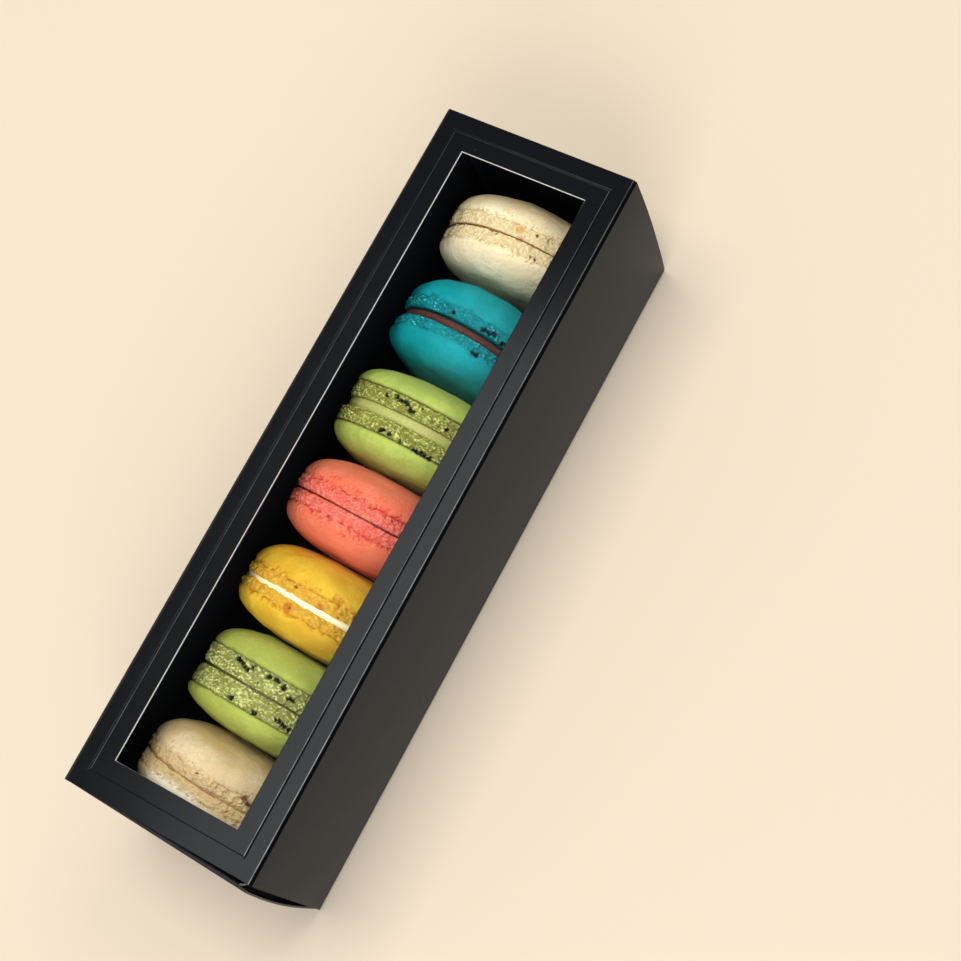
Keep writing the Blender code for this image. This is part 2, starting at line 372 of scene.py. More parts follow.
sleeveSizes = {
    "length": 200.0, "width": 57.0, "height": 55.0, "card": 0.5,
    "foldRadius": 0.85, "foldDent": 0.16, "sideBow": 0.7,
    "windowMargin": 9.9, "cutEdge": 0.05,
    "grooveInset": 4.95, "grooveWidth": 0.58, "grooveDepth": 0.2,
    # the pressed line, by side, each lit its own way: share of its depth, painted highlight on its
    # window-side rim, painted shade in its bottom
    "groove": {
        "right": (1.0, 0.75, -0.95), "left": (0.7, 0.45, -0.4),
        "far": (0.5, 0.3, -0.3), "near": (0.15, 0.0, 0.0)},
    "sideSheenMark": -0.72,          # the side panels' mark, which their painted cool sheen and duller gloss go by
    "lipWear": 1.4,             # the bared pulp along two of the window's cut edges
    "leftHighlight": 0.15,            # how strong the painted highlight on the top's left fold is beside the others
    "highlightFade": (0.65, 0.35),    # the painted highlights, with their rubbing, lessen towards the far end
    # marks from the flat panel's edge round a fold, each at its share of the quarter turn: a pale
    # painted highlight with some rubbing, then black painted shade in the crease
    "foldMarks": [(0.0, 0.9), (0.08, 0.9), (0.17, -0.4), (0.3, -1.0), (0.5, -1.0), (0.7, -1.0),
                 (0.86, -1.0), (1.0, -0.7)],
    "seamInset": 3.0, "seamWidth": 0.3, "seamDepth": 0.18,
    "ripple": 0.08, "rippleLength": 46.0,   # the side panels' faint waves
    # how far apart the points are: along the box, up its sides, beside the window, beside a fold
    "step": 6.0, "sideStep": 4.0, "lipStep": 2.5, "rimStep": 1.5,
    "guard": 0.12,              # points this close to an edge keep its bend from spreading
}


def valley(distance, width, depth):
    # a pressed line with steep walls: depth at its middle, nothing past half its width
    if abs(distance) >= width / 2:
        return 0.0
    return depth * (0.5 + 0.5 * math.cos(math.tau * distance / width)) ** 0.8


def around(middle, width):
    # the points that a pressed line needs across itself, the outermost to keep the panel flat
    shares = (-0.68, -0.52, -0.34, -0.17, 0, 0.17, 0.34, 0.52, 0.68)
    return [middle + width * share for share in shares]


def fold(centre, start, rubAndHighlight=1.0):
    # a quarter turn of scored fold, clockwise: a pale painted highlight with some rubbing beside
    # the flat, then black painted shade
    s = sleeveSizes
    profile = s["foldMarks"]
    leavesFlat = start % 180 == 90
    points = []
    for share, wear in profile if leavesFlat else reversed(profile):
        turn = math.radians(start - 90 * (share if leavesFlat else 1 - share))
        radius = s["foldRadius"] - valley(share - 0.55, 0.9, s["foldDent"])
        x, z = centre[0] + radius * math.cos(turn), centre[1] + radius * math.sin(turn)
        points.append((x, z, wear * rubAndHighlight if wear > 0 else wear))
    return points


def sleeveSection():
    # the tube's outside, clockwise seen from the near end, with each place's rubbing and painted
    # light
    s = sleeveSizes
    side, top, r, guard = s["width"] / 2, s["height"], s["foldRadius"], s["guard"]
    groove = side - s["grooveInset"]
    window = side - s["windowMargin"]
    flat = side - r
    line = around(groove, s["grooveWidth"])

    half = spaced(0, window, s["step"])[1:] + [window]
    half += spaced(window + guard, line[0], s["lipStep"]) + line
    half += spaced(line[-1], flat - guard, s["rimStep"])[1:] + [flat - guard]
    down = spaced(top - r - guard, r + guard, s["sideStep"]) + [r + guard]
    seam = around(-side + s["seamInset"], s["seamWidth"])
    under = [flat - guard] + spaced(flat - guard, seam[-1], s["step"])[1:] + list(reversed(seam))
    under += spaced(seam[0], guard - flat, s["rimStep"])[1:] + [guard - flat]
    section = [(x, top, 0.0) for x in [-x for x in reversed(half)] + [0.0] + half]
    section += fold((flat, top - r), 90) + [(side, z, s["sideSheenMark"]) for z in down]
    section += fold((flat, r), 0) + [(x, 0.0, 0.0) for x in under]
    section += fold((-flat, r), -90) + [(-side, z, s["sideSheenMark"]) for z in reversed(down)]
    return section + fold((-flat, top - r), 180, s["leftHighlight"])


def grooveSide(x, y):
    # what the pressed line is like beside this place, its four sides meeting on the diagonals
    s = sleeveSizes
    upright = abs(x) - s["width"] / 2 > abs(y) - s["length"] / 2
    return s["groove"][("right" if x > 0 else "left") if upright else ("far" if y > 0 else "near")]


def sleevePoint(x, y, z):
    # presses the line and bows the sides; y is from the sleeve's middle
    s = sleeveSizes
    side, top, half = s["width"] / 2, s["height"], s["length"] / 2
    height = 2 * z / top - 1
    wave = s["ripple"] * math.sin(math.tau * (y + 0.7 * z) / s["rippleLength"]) * (1 - height ** 2)
    if abs(x) > side - 0.01:
        x += math.copysign(wave, x)
    x += math.copysign(s["sideBow"] * (1 - height ** 2), x) if x else 0.0
    if z == top:
        across = abs(x) - (side - s["grooveInset"])
        along = abs(y) - (half - s["grooveInset"])
        z -= valley(max(across, along), s["grooveWidth"], s["grooveDepth"]) * grooveSide(x, y)[0]
    elif z == 0:
        z += valley(x + side - s["seamInset"], s["seamWidth"], s["seamDepth"])
    return Vector((x, y, z)) * mm


def sleeveWearAndLight(x, y, z, folded, reach, window):
    # on the top panel the line takes a painted highlight on its window side and painted shade
    # within, each side by its own measure as the light falls on it, and two of the window's cut
    # edges show a lip of bare pulp
    s = sleeveSizes
    half = s["length"] / 2
    fade = s["highlightFade"][0] - s["highlightFade"][1] * y / half
    if z < s["height"] or folded:
        return folded * (fade if folded > 0 else 1)
    across, along = abs(x) - s["width"] / 2, abs(y) - half
    off = (max(across, along) + s["grooveInset"]) / s["grooveWidth"]
    onLeft = x == -reach and abs(y) <= window
    onFar = y == window and abs(x) <= reach
    if onLeft or onFar:
        return s["lipWear"]
    rim, bottom = grooveSide(x, y)[1:]
    if -0.6 < off < -0.3:
        return rim * fade
    return bottom if -0.2 < off < 0.2 else 0.0


def makeSleeve():
    s = sleeveSizes
    low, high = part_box("sleeve")
    shift = Vector((0, (low.y + high.y) / 2, 0))
    half, guard = s["length"] / 2, s["guard"]
    line = around(half - s["grooveInset"], s["grooveWidth"])
    window = half - s["windowMargin"]
    ends = [half] + spaced(half - guard, line[-1], s["rimStep"]) + list(reversed(line))
    ends += spaced(line[0], window + guard, s["lipStep"])[1:] + [window + guard]
    stations = [-y for y in ends] + spaced(-window, window, s["step"])
    stations += [window] + list(reversed(ends))
    section = sleeveSection()
    rows = [[sleevePoint(x, y, z) + shift for x, z, wear in section] for y in stations]
    reach = s["width"] / 2 - s["windowMargin"]

    def outsideWindow(i, j):
        # whether the cell at this row and column stays, which is all but the window's
        x = (section[j][0] + section[(j + 1) % len(section)][0]) / 2
        onTop = section[j][1] == s["height"]
        y = (stations[i] + stations[i + 1]) / 2
        return not (onTop and abs(x) < reach and abs(y) < window)

    markRows = [[sleeveWearAndLight(x, y, z, wear, reach, window) for x, z, wear in section] for y in stations]
    mesh = sheetMesh("sleeveCard", rows, True, outsideWindow, markRows)
    sleeve = newObject("sleeveCard", mesh)
    mesh.materials.append(laminatedCard("mattLaminatedSleeveCard", cardLooks["sleeve"]))
    mesh.materials.append(boardCore("dieCutSleeveCore", cardLooks["sleeve"]))
    thicken(sleeve, s["card"], s["cutEdge"])
    handIn(sleeve, "sleeve", "sleeve_card", "sleeve")


makeSleeve()
print("sleeve folded")


# Window film, glued under the top panel

filmSizes = {"cornerCut": 3.0, "wave": 0.04, "waveLength": 60.0, "step": 4.0, "edge": 0.03}


def makeFilm():
    s = filmSizes
    low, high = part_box("window_film")
    thickness = (high.z - low.z) / mm
    middle = (low + high) / 2
    halfX, halfY = (high.x - low.x) / 2, (high.y - low.y) / 2
    countX, countY = round(2 * halfX / (s["step"] * mm)), round(2 * halfY / (s["step"] * mm))
    cornerX, cornerY = s["cornerCut"] * mm / halfX, s["cornerCut"] * mm / halfY
    rows = []
    for i in range(countY + 1):
        v = 2 * i / countY - 1
        row = []
        for j in range(countX + 1):
            u = 2 * j / countX - 1
            # the sheet's corners are snipped off: the outermost points slide inwards
            into = max(0.0, abs(v) - 1 + cornerY) / cornerY
            x = u * halfX * (1 - cornerX * into * (abs(u) == 1))
            y = v * halfY
            z = s["wave"] * mm * math.sin(math.tau * y / (s["waveLength"] * mm)) * (1 - u * u)
            row.append(middle + Vector((x, y, z)))
        rows.append(row)
    film = newObject("windowFilm", sheetMesh("windowFilm", rows))
    film.data.materials.append(clearFilm("extrudedPetFilm"))
    film.data.materials.append(film.data.materials[0])
    thicken(film, thickness, s["edge"], offset=0.0)
    handIn(film, "sleeve", "window_film", "window_film")


makeFilm()
print("film in the window")


# Tray: one sheet folded up at both sides, and a double, folded-over flap at each end

traySizes = {
    "card": 0.5, "foldRadius": 0.6, "foldSteps": 4, "foldMarks": 0.6, "cutEdge": 0.05,
    "flare": 2.0, "belly": 1.1,     # how far the near flap springs, and bellies out
    "sag": 0.12,                    # how far the side walls draw in at the middle
    "flapRadius": 0.55, "flapWear": 0.2, "flapCells": 12,
    "hem": 0.65,                    # the inner layer stops this far over the tray's underside
    "tuck": 1.6,                    # how far the outer layer runs in under the floor
    "inset": 0.6, "nearInset": 2.6,     # how far the inner layers stay inside the walls
    "endGap": 0.05,
    # the ear from tip to wall, in shares of its width and of how far the flap has sprung there
    "ear": ((1.0, 0.85), (0.5, 0.6), (0.0, 0.0)),
    "earWidth": 2.2, "earFoot": 9.0, "earGap": 0.1,
    "step": 6.0, "guard": 0.3,
}


def makeTray():
    s = traySizes
    low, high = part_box("tray")
    r, f, step = s["foldRadius"] * mm, s["flapRadius"] * mm, s["step"] * mm
    flare = s["flare"] * mm
    nearEnd, farEnd = low.y + flare, high.y
    width, height = high.x - low.x, high.z - low.z

    def leaning(point):
        # the near flap springs out towards its top corner on the +X side, and bellies there
        across = (point.x - low.x) / width
        rise = (point.z - low.z) / height
        out = flare * rise + s["belly"] * mm * math.sin(math.pi * rise)
        return Vector((point.x, point.y - out * across, point.z))

    # the side walls and the floor between them
    foldEnd = low.z + r + s["guard"] * mm
    wall = spaced(high.z, foldEnd, step) + [foldEnd]
    section = [(low.x, z) for z in wall] + arc((low.x + r, low.z + r), r, 180, 270, s["foldSteps"])
    section += [(x, low.z) for x in spaced(low.x + r, high.x - r, step)[1:]]
    section += arc((high.x - r, low.z + r), r, 270, 360, s["foldSteps"])
    section += [(high.x, z) for z in reversed(wall)]
    onFold = [s["foldMarks"] if low.z < z < low.z + r else 0.0 for x, z in section]
    inner = (s["card"] + s["endGap"]) * mm
    stations = spaced(nearEnd + inner, farEnd - inner, step) + [farEnd - inner]
    rows = []
    for y in stations:
        share = (y - nearEnd) / (farEnd - nearEnd)
        bow = s["sag"] * mm * math.sin(math.pi * share)
        row = []
        for x, z in section:
            rise = (z - low.z) / height
            row.append(Vector((x - math.copysign(bow * rise * (abs(x) > high.x - r), x), y, z)))
        rows.append(row)
    walls = sheetMesh("walls", rows, markRows=[onFold] * len(rows))

    # the +X wall's near end folds in behind the sprung flap as an ear
    heights = [z for x, z in section if x == high.x and z >= foldEnd + s["earFoot"] * mm]
    ear = []
    for into, out in s["ear"]:
        row = []
        for z in heights:
            sprung = nearEnd - leaning(Vector((high.x, nearEnd, z))).y
            inwards = (s["earGap"] + into * s["earWidth"]) * mm
            row.append(Vector((high.x - inwards, nearEnd + inner - out * sprung, z)))
        ear.append(row)

    # each end flap goes up outside, over, and down inside
    hem = s["hem"] * mm
    path = [(-s["tuck"] * mm, 0.0)] + arc((-r, r), r, -90, 0, s["foldSteps"])
    path += [(0.0, z) for z in spaced(r, height - f, step)[1:]]
    path += arc((-f, height - f), f, 0, 180, 2 * s["foldSteps"])
    path += [(-2 * f, z) for z in spaced(height - f, hem, step)[1:] + [hem]]
    overTop = [s["flapWear"] if z > height - f else 0.0 for out, z in path]
    flaps = [sheetMesh("ear", ear)]
    for end, way, inset in ((nearEnd, -1, s["nearInset"]), (farEnd, 1, s["inset"])):
        rows = []
        for k in range(s["flapCells"] + 1):
            u = 2 * k / s["flapCells"] - 1
            row = []
            for out, z in path:
                drawnIn = inset if out < -f else s["inset"] if z < r else 0.0
                half = width / 2 - drawnIn * mm
                point = Vector((-way * u * half, end + way * out, low.z + z))
                row.append(leaning(point) if way < 0 else point)
            rows.append(row)
        flaps.append(sheetMesh("flap", rows, markRows=[overTop] * len(rows)))

    tray = newObject("trayCard", joinMeshes("trayCard", [walls, *flaps]))
    tray.data.materials.append(laminatedCard("mattLaminatedTrayCard", cardLooks["tray"]))
    tray.data.materials.append(boardCore("dieCutTrayCore", cardLooks["tray"]))
    thicken(tray, s["card"], s["cutEdge"], offset=1.0)
    handIn(tray, "tray", "tray_card", "tray")


makeTray()
print("tray folded")


# Biscuits. A turned form's rows are (share along the profile, radius, then its heights).

def shellProfile():
    # heights are in feet and in domes; the shoulder is fuller than a circle's
    rows = []
    for k in range(10):
        a = math.pi / 2 * (1 - k / 9.6)
        rows.append((0.47 * k / 9, math.cos(a) ** 0.72, 1.0, math.sin(a) ** 0.92))
    rows[0] = (0.0, 0.0, 1.0, 1.0)
    return rows + [
        (0.50, 0.991, 1.0, 0.035), (0.53, 0.992, 1.0, 0.0), (0.57, 0.993, 0.93, 0.0),
        (0.66, 0.994, 0.68, 0.0), (0.76, 0.991, 0.38, 0.0), (0.84, 0.980, 0.14, 0.0),
        (0.895, 0.960, 0.01, 0.0), (0.93, 0.930, 0.0, 0.0),
        (1.0, 0.0, 0.0, 0.0)]


shellForm = {
    "columns": 520, "rows": 86, "profile": shellProfile(),
    # places along the profile: the crease, where the foot's roughness ends and the dome's lumps do
    "crease": 0.53, "footEnd": (0.945, 0.89), "domeEnd": (0.56, 0.48),
    # noises, as (size, detail); the swell is the same from dome to foot
    "swell": (19.0, 1.0),
    "noises": {
        "lump": (7.0, 2.0), "frill": (3.2, 1.0), "patch": (4.5, 1.0), "fine": (0.55, 3.0),
        "tear": (2.4, 3.0), "wander": (3.6, 3.0), "warp": (1.3, 1.0), "crack": (1.5, 2.0)},
    "pitEvery": 1.7,
    "fray": {"fine": 0.9, "warp": 1.6},     # how far the noises pull the holes out of round
}
fillingForm = {
    "columns": 420, "rows": 26,
    "profile": [
        (0.0, 0.0, 1.0), (0.22, 0.962, 1.0), (0.34, 0.990, 0.86), (0.5, 1.0, 0.5),
        (0.66, 0.990, 0.14), (0.78, 0.962, 0.0), (1.0, 0.0, 0.0)],
}


def turnedBody(tree, form, radius, sizes, lift):
    # a grid wrapped round Z: X is the turn and Y the profile, whose heights the sizes scale
    grid = addNode(tree, "GeometryNodeMeshGrid", {
        "Size X": 1.0, "Size Y": 1.0,
        "Vertices X": form["columns"] + 1, "Vertices Y": form["rows"] + 1})
    place = addNode(tree, "GeometryNodeInputPosition")
    parts = addNode(tree, "ShaderNodeSeparateXYZ", {0: place}).node.outputs
    along = addNode(tree, "ShaderNodeMath", {0: parts["Y"], 1: 0.5}, operation="ADD")
    angle = addNode(tree, "ShaderNodeMath", {0: parts["X"], 1: -math.tau}, operation="MULTIPLY")
    curves = []
    for column in range(1, len(sizes) + 2):
        curves.append(addNode(tree, "ShaderNodeFloatCurve", {"Value": along}))
        mapping = curves[-1].node.mapping
        points = mapping.curves[0].points
        while len(points) < len(form["profile"]):
            points.new(0.5, 0.5)
        for point, row in zip(points, form["profile"]):
            point.location = (row[0], row[column])
            point.handle_type = "AUTO_CLAMPED"
        mapping.update()
    out = addNode(tree, "ShaderNodeMath", {0: curves[0], 1: radius}, operation="MULTIPLY")
    up = lift
    for curve, size in zip(curves[1:], sizes):
        up = addNode(tree, "ShaderNodeMath", {0: curve, 1: size, 2: up}, operation="MULTIPLY_ADD")
    cosine = addNode(tree, "ShaderNodeMath", {0: angle}, operation="COSINE")
    sine = addNode(tree, "ShaderNodeMath", {0: angle}, operation="SINE")
    x = addNode(tree, "ShaderNodeMath", {0: out, 1: cosine}, operation="MULTIPLY")
    y = addNode(tree, "ShaderNodeMath", {0: out, 1: sine}, operation="MULTIPLY")
    target = addNode(tree, "ShaderNodeCombineXYZ", {"X": x, "Y": y, "Z": up})
    marked = store(tree, grid, profile=along)
    return addNode(tree, "GeometryNodeSetPosition", {"Geometry": marked, "Position": target})


def store(tree, geometry, **values):
    # keeps fields as named attributes
    for name, value in values.items():
        geometry = addNode(tree, "GeometryNodeStoreNamedAttribute", {
            "Geometry": geometry, "Name": name, "Value": value}, data_type="FLOAT", domain="POINT")
    return geometry


def skinFields(tree):
    # a turned skin's place along its profile, its place, that laid flat, and the way out from Z
    profile = addNode(tree, "GeometryNodeInputNamedAttribute", {
        "Name": "profile"}, data_type="FLOAT")
    place = addNode(tree, "GeometryNodeInputPosition")
    flatPlace = addNode(tree, "ShaderNodeVectorMath", {
        0: place, 1: (1, 1, 0)}, operation="MULTIPLY")
    outward = addNode(tree, "ShaderNodeVectorMath", {0: flatPlace}, operation="NORMALIZE")
    return profile, place, flatPlace, outward


def noiseFields(tree, seed, table):
    # smooth noises round zero, each from (name, place, size in mm, detail)
    fields = {}
    for name, place, size, detail in table:
        noise = addNode(tree, "ShaderNodeTexNoise", {
            "Vector": place, "W": seed, "Scale": 1 / (size * mm), "Detail": detail},
            noise_dimensions="4D")
        fields[name] = addNode(tree, "ShaderNodeMath", {0: noise, 1: 0.5}, operation="SUBTRACT")
    return fields


def newTree(name, sizes):
    # a node group with one named input for each size, and the group's inputs and output node
    tree = bpy.data.node_groups.new(name, "GeometryNodeTree")
    tree.interface.new_socket("Geometry", in_out="INPUT", socket_type="NodeSocketGeometry")
    tree.interface.new_socket("Geometry", in_out="OUTPUT", socket_type="NodeSocketGeometry")
    for label in sizes:
        kind = label if label in ("Material", "Object") else "Float"
        tree.interface.new_socket(label, in_out="INPUT", socket_type="NodeSocket" + kind)
    feed = addNode(tree, "NodeGroupInput").node.outputs
    result = addNode(tree, "NodeGroupOutput")
    return tree, feed, result


def closeUp(tree, geometry, material, result):
    # closes the seam and the poles, then realizes and gives the finish
    merged = addNode(tree, "GeometryNodeMergeByDistance", {
        "Geometry": geometry, "Distance": 0.00001})
    real = addNode(tree, "GeometryNodeRealizeInstances", {"Geometry": merged})
    finished = addNode(tree, "GeometryNodeSetMaterial", {"Geometry": real, "Material": material})
    tree.links.new(finished, result.inputs[0])


def shellTree():
    # The whole shell is one turned skin. "Object" holds the places of its big holes.
    tree, feed, result = newTree("macaronShell", [
        "Radius", "Dome Height", "Foot Height", "Unevenness", "Frill", "Grain", "Grain Size",
        "Dent", "Blend", "Crease Depth", "Crease Width", "Crease Wander", "Crease Share",
        "Crack Reach", "Pit Share", "Pit Depth", "Object", "Hole Size", "Seed", "Material"])
    heights = (feed["Foot Height"], feed["Dome Height"])
    skin = turnedBody(tree, shellForm, feed["Radius"], heights, 0.0)
    profile, place, flatPlace, outward = skinFields(tree)
    normal = addNode(tree, "GeometryNodeInputNormal")
    table = [("swell", flatPlace, *shellForm["swell"])]
    table += [(name, place, *kind) for name, kind in shellForm["noises"].items()]
    noise = noiseFields(tree, feed["Seed"], table)

    # how much of each roughness a place gets
    edge = addNode(tree, "ShaderNodeMath", {
        0: noise["wander"], 1: feed["Crease Wander"], 2: profile}, operation="MULTIPLY_ADD")
    above = addNode(tree, "ShaderNodeMath", {
        0: shellForm["crease"] + 0.01, 1: feed["Blend"]}, operation="SUBTRACT")
    below = addNode(tree, "ShaderNodeMath", {
        0: shellForm["crease"] + 0.01, 1: feed["Blend"]}, operation="ADD")
    footStart = addNode(tree, "ShaderNodeMapRange", {
        "Value": edge, "From Min": above, "From Max": below}, **smooth)
    footEnd = addNode(tree, "ShaderNodeMapRange", {
        "Value": profile, "From Min": shellForm["footEnd"][0],
        "From Max": shellForm["footEnd"][1]}, **smooth)
    onFoot = addNode(tree, "ShaderNodeMath", {0: footStart, 1: footEnd}, operation="MULTIPLY")
    onDome = addNode(tree, "ShaderNodeMapRange", {
        "Value": profile, "From Min": shellForm["domeEnd"][0],
        "From Max": shellForm["domeEnd"][1]}, **smooth)

    # the crust: bubbles of uneven size, broken up by fine grain, coarser here and finer there
    warped = addNode(tree, "ShaderNodeCombineXYZ", {
        "X": noise["warp"], "Y": noise["wander"], "Z": noise["tear"]})
    warped = addNode(tree, "ShaderNodeVectorMath", {
        0: warped, 1: (0.5 * mm, 0.5 * mm, 0.5 * mm), 2: place}, operation="MULTIPLY_ADD")
    grainScale = addNode(tree, "ShaderNodeMath", {
        0: 1.0, 1: feed["Grain Size"]}, operation="DIVIDE")
    bubbles = addNode(tree, "ShaderNodeTexVoronoi", {
        "Vector": warped, "W": feed["Seed"], "Scale": grainScale}, voronoi_dimensions="4D")
    bubbles = addNode(tree, "ShaderNodeMath", {0: 0.45, 1: bubbles}, operation="SUBTRACT")
    relief = addNode(tree, "ShaderNodeMath", {
        0: noise["fine"], 1: 1.3, 2: bubbles}, operation="MULTIPLY_ADD")
    coarse = addNode(tree, "ShaderNodeMapRange", {
        "Value": noise["patch"], "From Min": -0.15, "From Max": 0.15,
        "To Min": 0.45, "To Max": 1.25}, **smooth)
    relief = addNode(tree, "ShaderNodeMath", {0: relief, 1: coarse}, operation="MULTIPLY")

    # pits: a share of the cells of a coarser pattern, and the named holes
    cells = addNode(tree, "ShaderNodeTexVoronoi", {
        "Vector": place, "W": feed["Seed"], "Scale": 1 / (shellForm["pitEvery"] * mm)},
        voronoi_dimensions="4D")
    chance = addNode(tree, "FunctionNodeSeparateColor", {0: cells.node.outputs["Color"]})
    chosen = addNode(tree, "ShaderNodeMath", {
        0: chance, 1: feed["Pit Share"]}, operation="LESS_THAN")
    ragged = addNode(tree, "ShaderNodeMath", {
        0: noise["fine"], 1: 0.45, 2: cells}, operation="MULTIPLY_ADD")
    pit = addNode(tree, "ShaderNodeMapRange", {
        "Value": ragged, "From Min": 0.25, "From Max": 0.13}, **smooth)
    pit = addNode(tree, "ShaderNodeMath", {0: pit, 1: chosen}, operation="MULTIPLY")
    pit = addNode(tree, "ShaderNodeMath", {0: pit, 1: onFoot}, operation="MULTIPLY")
    places = addNode(tree, "GeometryNodeObjectInfo", {"Object": feed["Object"]}, output="Geometry")
    away = addNode(tree, "GeometryNodeProximity", {
        "Geometry": places}, output="Distance", target_element="POINTS")
    for name, reach in shellForm["fray"].items():
        away = addNode(tree, "ShaderNodeMath", {
            0: noise[name], 1: reach * mm, 2: away}, operation="MULTIPLY_ADD")
    inner = addNode(tree, "ShaderNodeMath", {0: feed["Hole Size"], 1: 0.45}, operation="MULTIPLY")
    hole = addNode(tree, "ShaderNodeMapRange", {
        "Value": away, "From Min": feed["Hole Size"], "From Max": inner}, **smooth)
    pore = addNode(tree, "ShaderNodeMath", {0: pit, 1: hole}, operation="MAXIMUM")

    # the crease between dome and foot, torn open in places
    offLine = addNode(tree, "ShaderNodeMath", {
        0: edge, 1: shellForm["crease"]}, operation="SUBTRACT")
    offLine = addNode(tree, "ShaderNodeMath", {0: offLine}, operation="ABSOLUTE")
    line = addNode(tree, "ShaderNodeMapRange", {
        "Value": offLine, "From Min": feed["Crease Width"], "From Max": 0.0}, **smooth)
    waist = addNode(tree, "ShaderNodeMapRange", {
        "Value": offLine, "From Min": 0.06, "From Max": 0.0}, **smooth)
    waist = addNode(tree, "ShaderNodeMath", {0: waist, 1: feed["Dent"]}, operation="MULTIPLY")
    rare = addNode(tree, "ShaderNodeMath", {0: 0.5, 1: feed["Crease Share"]}, operation="SUBTRACT")
    torn = addNode(tree, "ShaderNodeMath", {0: noise["tear"], 1: rare}, operation="SUBTRACT")
    torn = addNode(tree, "ShaderNodeMapRange", {
        "Value": torn, "From Min": -0.04, "From Max": 0.05}, **smooth)
    crease = addNode(tree, "ShaderNodeMath", {0: line, 1: torn}, operation="MULTIPLY")
    # and short cracks branching off on both sides of it
    cracked = addNode(tree, "ShaderNodeMath", {0: noise["crack"]}, operation="ABSOLUTE")
    cracked = addNode(tree, "ShaderNodeMapRange", {
        "Value": cracked, "From Min": 0.035, "From Max": 0.008}, **smooth)
    band = addNode(tree, "ShaderNodeMapRange", {
        "Value": offLine, "From Min": feed["Crack Reach"], "From Max": 0.0, "To Max": 1.3},
        **smooth)
    cracked = addNode(tree, "ShaderNodeMath", {
        0: cracked, 1: band}, operation="MULTIPLY", use_clamp=True)
    crease = addNode(tree, "ShaderNodeMath", {0: crease, 1: cracked}, operation="MAXIMUM")

    # all of it along the skin's normal on the dome, and straight outward on the foot
    frill = addNode(tree, "ShaderNodeMath", {
        0: noise["frill"], 1: feed["Frill"]}, operation="MULTIPLY")
    rough = addNode(tree, "ShaderNodeMath", {
        0: relief, 1: feed["Grain"], 2: frill}, operation="MULTIPLY_ADD")
    sink = addNode(tree, "ShaderNodeMath", {0: pore, 1: feed["Pit Depth"]}, operation="MULTIPLY")
    rough = addNode(tree, "ShaderNodeMath", {0: rough, 1: sink}, operation="SUBTRACT")
    rough = addNode(tree, "ShaderNodeMath", {0: rough, 1: onFoot}, operation="MULTIPLY")
    gap = addNode(tree, "ShaderNodeMath", {
        0: crease, 1: feed["Crease Depth"], 2: waist}, operation="MULTIPLY_ADD")
    rough = addNode(tree, "ShaderNodeMath", {0: rough, 1: gap}, operation="SUBTRACT")
    swell = addNode(tree, "ShaderNodeMath", {
        0: noise["swell"], 1: feed["Unevenness"], 2: rough}, operation="MULTIPLY_ADD")
    lump = addNode(tree, "ShaderNodeMath", {
        0: noise["lump"], 1: feed["Unevenness"]}, operation="MULTIPLY")
    lump = addNode(tree, "ShaderNodeMath", {0: lump, 1: onDome}, operation="MULTIPLY")
    move = addNode(tree, "ShaderNodeVectorMath", {0: outward, "Scale": swell}, operation="SCALE")
    bulge = addNode(tree, "ShaderNodeVectorMath", {0: normal, "Scale": lump}, operation="SCALE")
    move = addNode(tree, "ShaderNodeVectorMath", {0: move, 1: bulge}, operation="ADD")

    skin = store(tree, skin, foot=onFoot, relief=relief, pore=pore, crease=crease)
    skin = addNode(tree, "GeometryNodeSetPosition", {"Geometry": skin, "Offset": move})
    closeUp(tree, skin, feed["Material"], result)
    return tree


def fillingTree():
    tree, feed, result = newTree("macaronFilling", [
        "Radius", "Thickness", "Squeeze", "Grain", "Seed", "Material"])
    lift = addNode(tree, "ShaderNodeMath", {0: feed["Thickness"], 1: -0.5}, operation="MULTIPLY")
    disc = turnedBody(tree, fillingForm, feed["Radius"], (feed["Thickness"],), lift)
    profile, place, flatPlace, outward = skinFields(tree)
    noise = noiseFields(tree, feed["Seed"], [
        ("squeeze", flatPlace, 6.0, 2.0), ("grain", place, 0.7, 2.0)])
    squeeze = addNode(tree, "ShaderNodeMath", {
        0: noise["squeeze"], 1: feed["Squeeze"]}, operation="MULTIPLY")
    rough = addNode(tree, "ShaderNodeMath", {
        0: noise["grain"], 1: feed["Grain"], 2: squeeze}, operation="MULTIPLY_ADD")
    before = addNode(tree, "ShaderNodeMapRange", {
        "Value": profile, "From Min": 0.15, "From Max": 0.3}, **smooth)
    after = addNode(tree, "ShaderNodeMapRange", {
        "Value": profile, "From Min": 0.85, "From Max": 0.7}, **smooth)
    onRim = addNode(tree, "ShaderNodeMath", {0: before, 1: after}, operation="MULTIPLY")
    rough = addNode(tree, "ShaderNodeMath", {0: rough, 1: onRim}, operation="MULTIPLY")
    move = addNode(tree, "ShaderNodeVectorMath", {0: outward, "Scale": rough}, operation="SCALE")
    disc = store(tree, disc, relief=noise["grain"])
    disc = addNode(tree, "GeometryNodeSetPosition", {"Geometry": disc, "Offset": move})
    closeUp(tree, disc, feed["Material"], result)
    return tree


def runTree(name, tree, values, place):
    # a piece made by a node group, set down by a matrix
    piece = newObject(name, bpy.data.meshes.new(name))
    modifier = piece.modifiers.new(tree.name, "NODES")
    modifier.node_group = tree
    for item in tree.interface.items_tree:
        if item.item_type == "SOCKET" and item.in_out == "INPUT" and item.name in values:
            modifier[item.identifier] = values[item.name]
    fixShape(piece, 180)
    piece.data.transform(place)
    return piece


